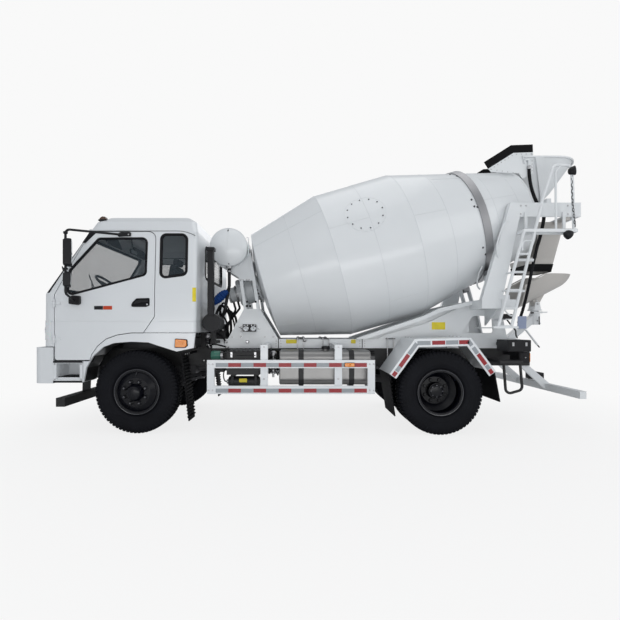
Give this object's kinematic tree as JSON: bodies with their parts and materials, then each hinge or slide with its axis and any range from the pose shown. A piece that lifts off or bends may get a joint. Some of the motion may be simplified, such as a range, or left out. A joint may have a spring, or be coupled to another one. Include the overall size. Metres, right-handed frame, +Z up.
{
  "type": "concrete mixer truck",
  "caption": "Two-axle cab-over concrete mixer truck with tilting cab, steered front wheels, inclined revolving drum, charge hopper and swivelling discharge chute.",
  "frame": {"origin": "on the ground under the middle of the overall length and width", "axes": "+X to the rear, -Y to the driver's left side, +Z up"},
  "size_m": [7.4211, 2.9988, 3.9099],
  "materials": {
    "white_paint": "gloss",
    "drum_paint": "gloss",
    "chassis_paint": "satin",
    "black_paint": "satin",
    "rim_paint": "gloss",
    "tyre_rubber": "matte",
    "flap_rubber": "matte",
    "glass": "clear",
    "lamp_glass": "clear",
    "lamp_red": "gloss",
    "black_plastic": "matte",
    "seat_cloth": "woven",
    "floor_rubber": "matte",
    "tank_metal": "brushed",
    "steel": "worn",
    "iron": "painted"
  },
  "bodies": {
    "chassis": {"air_intake": "black_paint", "air_tank": "black_paint", "battery_box": "white_paint", "bumper": "white_paint", "charge_hopper": "drum_paint", "drum_gearbox": "iron", "engine": "iron", "frame_rails": "chassis_paint", "front_axle": "iron", "front_beam": "black_paint", "front_pedestal": "drum_paint", "fuel_tank": "tank_metal", "hopper_apron": "flap_rubber", "ladder": "drum_paint", "leaf_springs": "iron", "mudflaps": "flap_rubber", "outlet_funnel": "drum_paint", "propshaft": "iron", "rear_axle": "iron", "rear_fenders": "white_paint", "rear_guard": "black_paint", "rear_lamps": "lamp_red", "rear_pedestal": "drum_paint", "rear_posts": "drum_paint", "rear_step": "black_paint", "side_guards": "white_paint", "step_boxes": "white_paint", "subframe": "chassis_paint", "water_tank": "drum_paint"},
    "cab": {"cab_shell": "white_paint", "cab_floor": "floor_rubber", "cab_glass": "glass", "headlamps": "lamp_glass", "front_fenders": "white_paint", "seats": "seat_cloth", "dashboard": "black_plastic"},
    "door_left": {"door_left": "white_paint", "door_glass_left": "glass", "mirrors_left": "black_plastic"},
    "door_right": {"door_right": "white_paint", "door_glass_right": "glass", "mirrors_right": "black_plastic"},
    "steering_knuckle_left": {"knuckle_left": "iron"},
    "steering_knuckle_right": {"knuckle_right": "iron"},
    "front_wheel_left": {"tyre_front_left": "tyre_rubber", "wheel_front_left": "rim_paint"},
    "front_wheel_right": {"tyre_front_right": "tyre_rubber", "wheel_front_right": "rim_paint"},
    "rear_wheels_left": {"tyres_rear_left": "tyre_rubber", "wheel_rear_left": "rim_paint"},
    "rear_wheels_right": {"tyres_rear_right": "tyre_rubber", "wheel_rear_right": "rim_paint"},
    "drum": {"drum_front": "drum_paint", "drum_barrel": "drum_paint", "drum_rear": "drum_paint", "drum_ring": "steel"},
    "roller_left": {"drum_roller_left": "steel"},
    "roller_right": {"drum_roller_right": "steel"},
    "chute_turntable": {"chute_yoke": "drum_paint"},
    "chute_trough": {"chute": "drum_paint"}
  },
  "joints": [
    {"name": "cab_tilt", "type": "hinge", "parent": "chassis", "child": "cab", "pos_m": [-3.51059, 0, 1.13], "axis": [0, -1, 0], "range_deg": [0, 45]},
    {"name": "door_left_swing", "type": "hinge", "parent": "cab", "child": "door_left", "pos_m": [-3.38009, -1.159, 1.415], "axis": [0, 0, -1], "range_deg": [0, 70]},
    {"name": "door_right_swing", "type": "hinge", "parent": "cab", "child": "door_right", "pos_m": [-3.38009, 1.159, 1.415], "axis": [0, 0, 1], "range_deg": [0, 70]},
    {"name": "steer_left", "type": "hinge", "parent": "chassis", "child": "steering_knuckle_left", "pos_m": [-2.38059, -0.85, 0.525], "axis": [0, 0, 1], "range_deg": [-33, 33]},
    {"name": "steer_right", "type": "hinge", "parent": "chassis", "child": "steering_knuckle_right", "pos_m": [-2.38059, 0.85, 0.525], "axis": [0, 0, 1], "range_deg": [-33, 33]},
    {"name": "front_wheel_left_spin", "type": "hinge", "parent": "steering_knuckle_left", "child": "front_wheel_left", "pos_m": [-2.38059, -0.98, 0.525], "axis": [0, 1, 0], "continuous": true},
    {"name": "front_wheel_right_spin", "type": "hinge", "parent": "steering_knuckle_right", "child": "front_wheel_right", "pos_m": [-2.38059, 0.98, 0.525], "axis": [0, 1, 0], "continuous": true},
    {"name": "rear_wheels_left_spin", "type": "hinge", "parent": "chassis", "child": "rear_wheels_left", "pos_m": [1.41941, -0.9, 0.525], "axis": [0, 1, 0], "continuous": true},
    {"name": "rear_wheels_right_spin", "type": "hinge", "parent": "chassis", "child": "rear_wheels_right", "pos_m": [1.41941, 0.9, 0.525], "axis": [0, 1, 0], "continuous": true},
    {"name": "drum_spin", "type": "hinge", "parent": "chassis", "child": "drum", "pos_m": [-0.83259, 0, 1.973], "axis": [0.9613, 0, 0.2756], "continuous": true},
    {"name": "chute_swing", "type": "hinge", "parent": "chassis", "child": "chute_turntable", "pos_m": [3.21941, 0, 1.5], "axis": [0, 0, 1], "range_deg": [-180, 180]},
    {"name": "chute_tilt", "type": "hinge", "parent": "chute_turntable", "child": "chute_trough", "pos_m": [3.21941, 0, 1.69], "axis": [0, 1, 0], "range_deg": [-3, 20]},
    {"name": "roller_left_spin", "type": "hinge", "parent": "chassis", "child": "roller_left", "pos_m": [2.33497, -0.51694, 2.02068], "axis": [0.9613, 0, 0.2756], "continuous": true},
    {"name": "roller_right_spin", "type": "hinge", "parent": "chassis", "child": "roller_right", "pos_m": [2.33497, 0.51694, 2.02068], "axis": [0.9613, 0, 0.2756], "continuous": true}
  ],
  "couplings": [
    {"joint": "steer_right", "follows": "steer_left", "ratio": 1},
    {"joint": "roller_left_spin", "follows": "drum_spin", "ratio": -6.8},
    {"joint": "roller_right_spin", "follows": "drum_spin", "ratio": -6.8}
  ]
}
